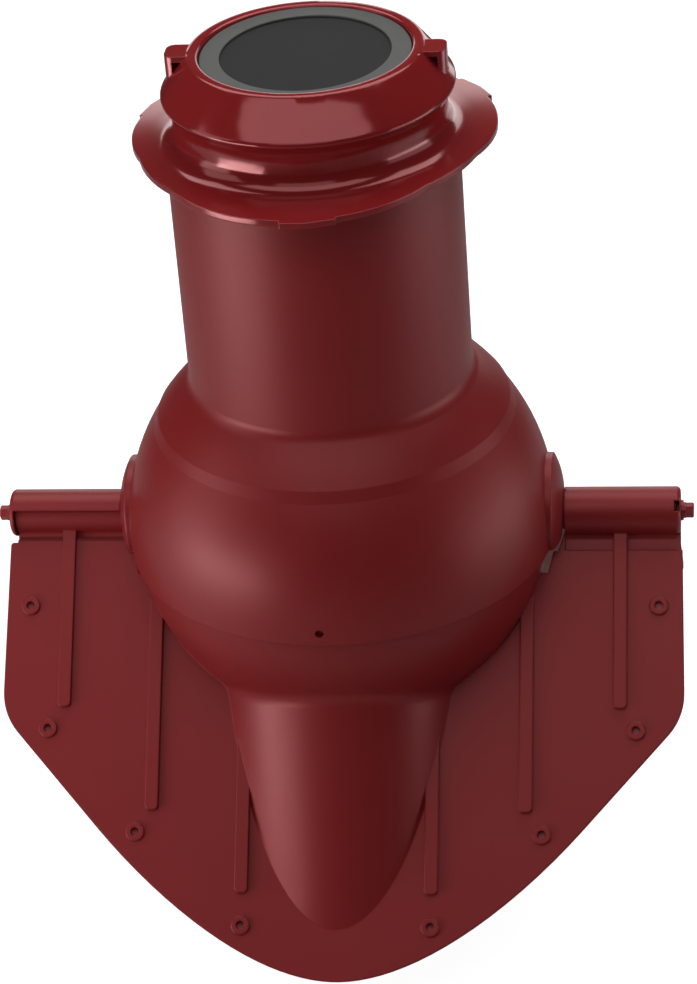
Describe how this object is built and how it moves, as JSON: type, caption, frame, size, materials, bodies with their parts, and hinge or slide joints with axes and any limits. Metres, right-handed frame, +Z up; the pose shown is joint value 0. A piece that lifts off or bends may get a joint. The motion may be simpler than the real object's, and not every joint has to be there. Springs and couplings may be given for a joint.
{
  "type": "roof ridge vent pipe",
  "caption": "Ridge vent: a capped upright pipe on a spherical hood that turns over hinged roof plates with spouts, ribs and screw holes.",
  "frame": {"origin": "centre of the ball, on the hinge axis along the ridge", "axes": "+X along the ridge and the hinge, +Z up the pipe, -Y towards the front slope"},
  "size_m": [0.404, 0.3592, 0.4935],
  "materials": {
    "red_plastic": "semi-gloss wine red",
    "cap_plastic": "gloss wine red",
    "grey_rubber": "matt grey",
    "black_rubber": "matt black",
    "coated_steel": "wine red coating"
  },
  "bodies": {
    "pipe": {"hood_pipe": "red_plastic", "cap": "cap_plastic", "seal_ring": "grey_rubber", "membrane_disc": "black_rubber"},
    "front": {"front_plate": "red_plastic", "hinge_screw_left": "coated_steel", "washer_left": "coated_steel"},
    "rear": {"rear_plate": "red_plastic", "hinge_screw_right": "coated_steel", "washer_right": "coated_steel"}
  },
  "joints": [
    {"name": "front_plate_hinge", "type": "hinge", "parent": "pipe", "child": "front", "pos_m": [0, 0, 0], "axis": [1, 0, 0], "range_deg": [-18, 12]},
    {"name": "rear_plate_hinge", "type": "hinge", "parent": "pipe", "child": "rear", "pos_m": [0, 0, 0], "axis": [1, 0, 0], "range_deg": [-12, 18]}
  ]
}
